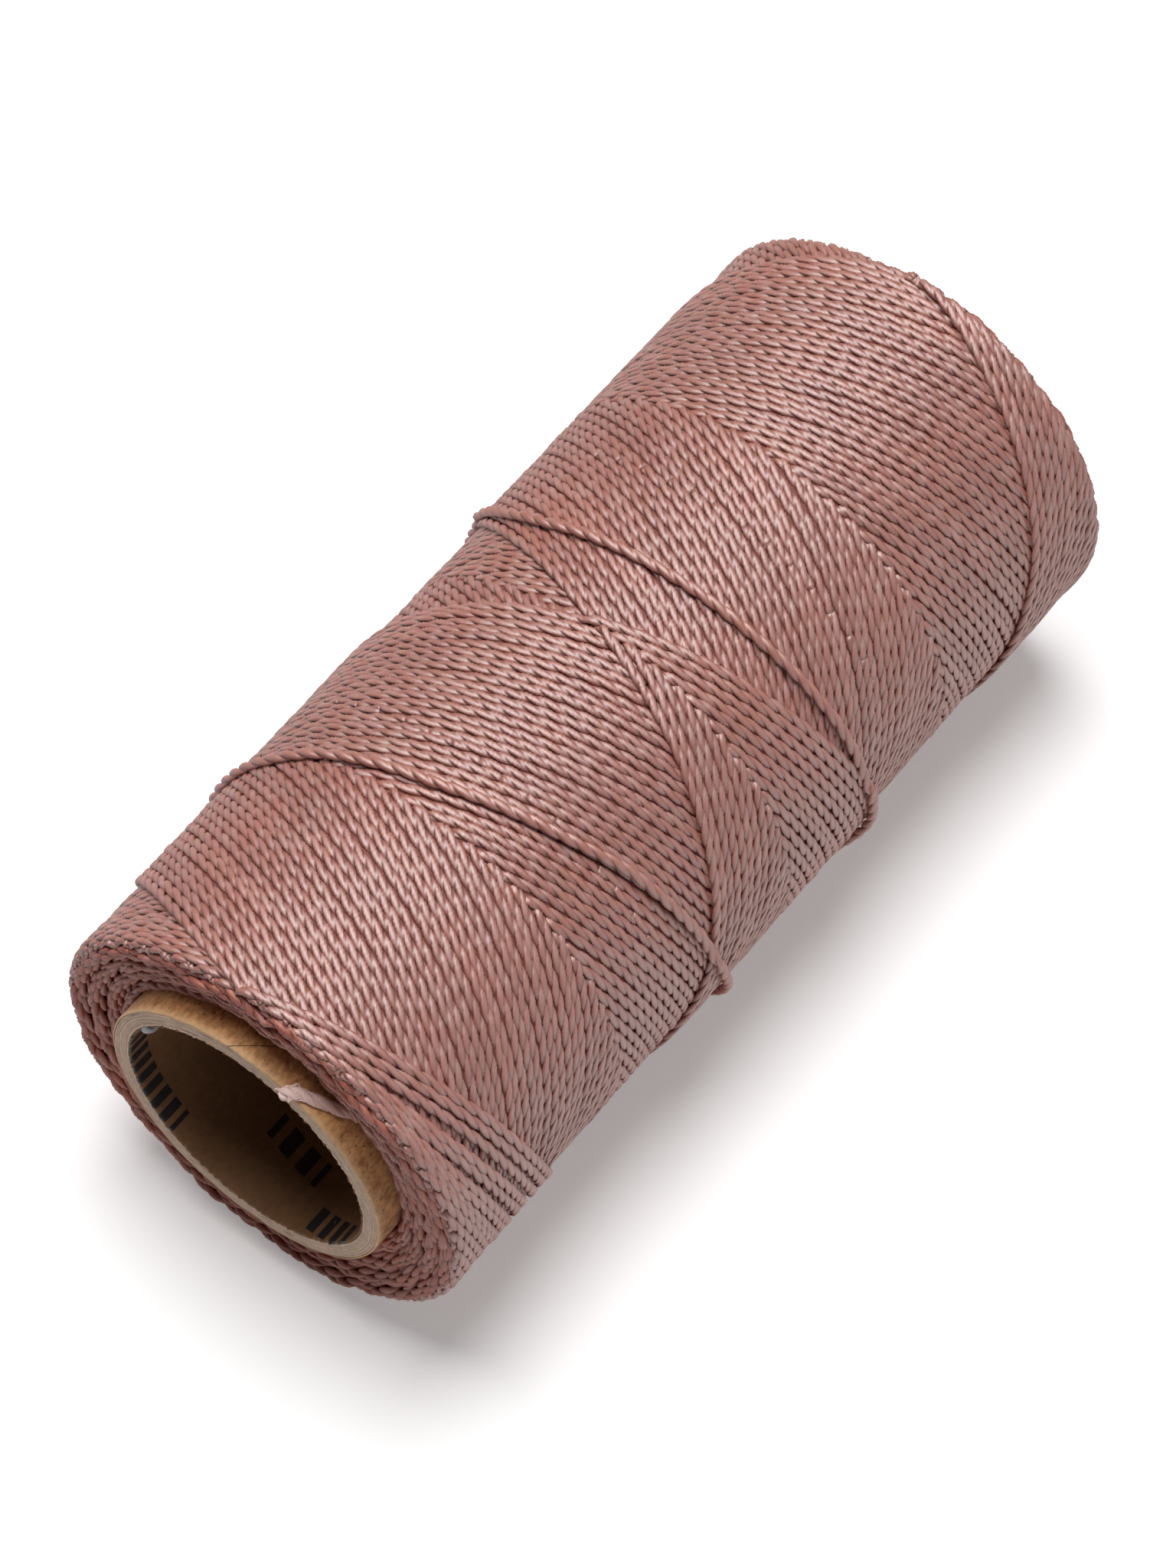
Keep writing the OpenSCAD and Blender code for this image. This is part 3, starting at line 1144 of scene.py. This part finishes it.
class SPOOL_OT_glue_spot(bpy.types.Operator):
    """Puts a spot of dried glue on the inner edge of the near rim"""

    bl_idname = "spool.glue_spot"
    bl_label = "Glue spot"

    def execute(self, context):
        rows, columns = 18, 40
        polar = np.linspace(0, np.pi, rows + 2)[1:-1, None]
        turn = np.linspace(0, 2 * np.pi, columns, endpoint=False)[None, :]
        # An ellipsoid, its outline uneven, that hugs the corner of bore and rim.
        uneven = 1 + 0.1 * np.sin(2 * turn + 0.7) + 0.07 * np.sin(5 * turn)
        u = np.sin(polar) * np.cos(turn) * uneven
        v = np.sin(polar) * np.sin(turn) * uneven
        w = np.cos(polar) + 0 * turn
        angle = 56 + 5.4 * u
        radius = BORE_RADIUS - 0.3 + 0.75 * w
        along = 0.7 + 1.0 * v - 0.15 * w
        caps = np.array([[57, 0.6, BORE_RADIUS + 0.5], [57, 0.9, BORE_RADIUS - 0.9]])
        points = np.concatenate(
            [put(along, radius, angle).reshape(-1, 3), put(caps[:, 1], caps[:, 2], caps[:, 0])]
        )
        quads = grid_faces(rows, columns, False, True)
        ring = np.arange(columns)
        after = (ring + 1) % columns
        last = (rows - 1) * columns
        pole = rows * columns
        top = np.stack([after, ring, 0 * ring + pole], -1)
        bottom = np.stack([last + ring, last + after, 0 * ring + pole + 1], -1)
        add_piece("glue_spot", points, [quads, top, bottom], glue_finish())
        return {"FINISHED"}


# The studio, in metres
FLOOR_HALF = 3.0
LAMP_PLACE = (0.12, 0.18, 1.28)
LAMP_AIM = (0, 0, 0.02)
CAMERA_PLACE = (-0.3137, -0.2428, 0.6633)
CAMERA_RIGHT = (0.6138, -0.7894, 0.0)
CAMERA_LOOK = (0.416, 0.323, -0.850)


class SPOOL_OT_stage(bpy.types.Operator):
    """Sets the pale floor, the soft lamp, the world and the camera"""

    bl_idname = "spool.stage"
    bl_label = "Studio"

    def execute(self, context):
        scene = context.scene
        scene.view_settings.view_transform = "Standard"
        near, far = -FLOOR_HALF, FLOOR_HALF
        mesh = bpy.data.meshes.new("floor")
        corners = [(near, near, 0), (far, near, 0), (far, far, 0), (near, far, 0)]
        mesh.from_pydata(corners, [], [(0, 1, 2, 3)])
        mesh.materials.append(self.floor_finish(scene.spool_colours))
        floor = add_object("floor", mesh)

        # A round soft lamp that faces the spool
        lamp_data = bpy.data.lights.new("key_lamp", "AREA")
        lamp_data.shape = "DISK"
        lamp_data.size = 0.9
        lamp_data.energy = 19.0
        lamp = add_object("key_lamp", lamp_data)
        lamp.location = LAMP_PLACE
        aim = Vector(LAMP_AIM) - Vector(LAMP_PLACE)
        lamp.rotation_euler = aim.to_track_quat("-Z", "Y").to_euler()
        scene.world = self.studio_air()

        camera_data = bpy.data.cameras.new("camera")
        camera_data.lens = 139.06
        camera_data.sensor_width = 36
        camera_data.sensor_fit = "AUTO"
        camera = add_object("camera", camera_data)
        right = Vector(CAMERA_RIGHT).normalized()
        look = Vector(CAMERA_LOOK).normalized()
        up = right.cross(look).normalized()
        right = look.cross(up)
        turn = Matrix((right, up, -look)).transposed().to_4x4()
        camera.matrix_world = Matrix.Translation(CAMERA_PLACE) @ turn
        scene.camera = camera
        return {"FINISHED"}

    def studio_air(self):
        """White to the camera. To the spool it is a dim sky, a little brighter above and ahead.

        Low down it is brighter again, by (1 - height)^3, and most of all on the -Y side.
        """
        world = bpy.data.worlds.new("studio_air")
        world.use_nodes = True
        tree = world.node_tree
        ahead, side, height = add_node(tree, "ShaderNodeTexCoord", output="Generated").parts()
        low = (1 - height) ** 3
        light = 0.05 + 0.06 * height + 0.05 * ahead + low * (0.12 + 0.08 * ahead - 0.44 * side)
        light = light.math("MAXIMUM", 0.04)
        seen = add_node(tree, "ShaderNodeLightPath", output="Is Camera Ray")
        background = tree.nodes["Background"].inputs
        feed(tree, background["Strength"], light + seen * (1 - light))
        feed(tree, background["Color"], (1.0, 1.0, 1.0))
        return world

    def floor_finish(self, colours):
        """Matt pale floor that reads as white.

        The camera sees a little light added near the spool, and full white far from it. What
        shines sees a smaller share of the little light.
        """
        made = Finish(
            "floor_paper", Roughness=0.9, Specular_IOR_Level=0.1, Emission_Strength=1.0
        )
        place = made.place()
        seen = made.node("ShaderNodeLightPath", output="Is Camera Ray")
        shine = made.node("ShaderNodeLightPath", output="Is Glossy Ray")
        away = made.node(
            "ShaderNodeVectorMath", {"operation": "LENGTH"}, {0: place}, output="Value"
        )
        light = 0.26 * (seen + 0.4 * shine) + 0.74 * seen * away.over(0.7, 0.8)
        glow = made.blend(light, (0.0, 0.0, 0.0), (1.0, 1.0, 1.0))
        feed(made.tree, made.shader.inputs["Emission Color"], glow)
        grain = made.noise(place, 60, 2)
        return made.finish(made.blend(grain, shade(colours.floor, 0.985), colours.floor[:]))


class SPOOL_PT_panel(bpy.types.Panel):
    """Lists the steps and the main values"""

    bl_idname = "SPOOL_PT_panel"
    bl_label = "Thread spool"
    bl_space_type = "VIEW_3D"
    bl_region_type = "UI"
    bl_category = "Thread spool"

    def draw(self, context):
        for group in (context.scene.spool_sizes, context.scene.spool_colours):
            box = self.layout.box()
            for name in group.__annotations__:
                box.prop(group, name)
        for step in STEPS:
            self.layout.operator(step.bl_idname)


# In the order in which they run
STEPS = [
    SPOOL_OT_stage,
    SPOOL_OT_paper_tube,
    SPOOL_OT_buried_thread,
    SPOOL_OT_end_turns,
    SPOOL_OT_outer_winding,
    SPOOL_OT_last_wrap,
    SPOOL_OT_first_end,
    SPOOL_OT_glue_spot,
]
CLASSES = [SpoolSizes, SpoolColours, *STEPS, SPOOL_PT_panel]


def register():
    for kind in CLASSES:
        bpy.utils.register_class(kind)
    bpy.types.Scene.spool_sizes = PointerProperty(type=SpoolSizes)
    bpy.types.Scene.spool_colours = PointerProperty(type=SpoolColours)


def unregister():
    del bpy.types.Scene.spool_colours
    del bpy.types.Scene.spool_sizes
    for kind in reversed(CLASSES):
        bpy.utils.unregister_class(kind)


def main():
    register()
    for step in STEPS:
        group, name = step.bl_idname.split(".")
        getattr(getattr(bpy.ops, group), name)()


if __name__ == "__main__":
    main()
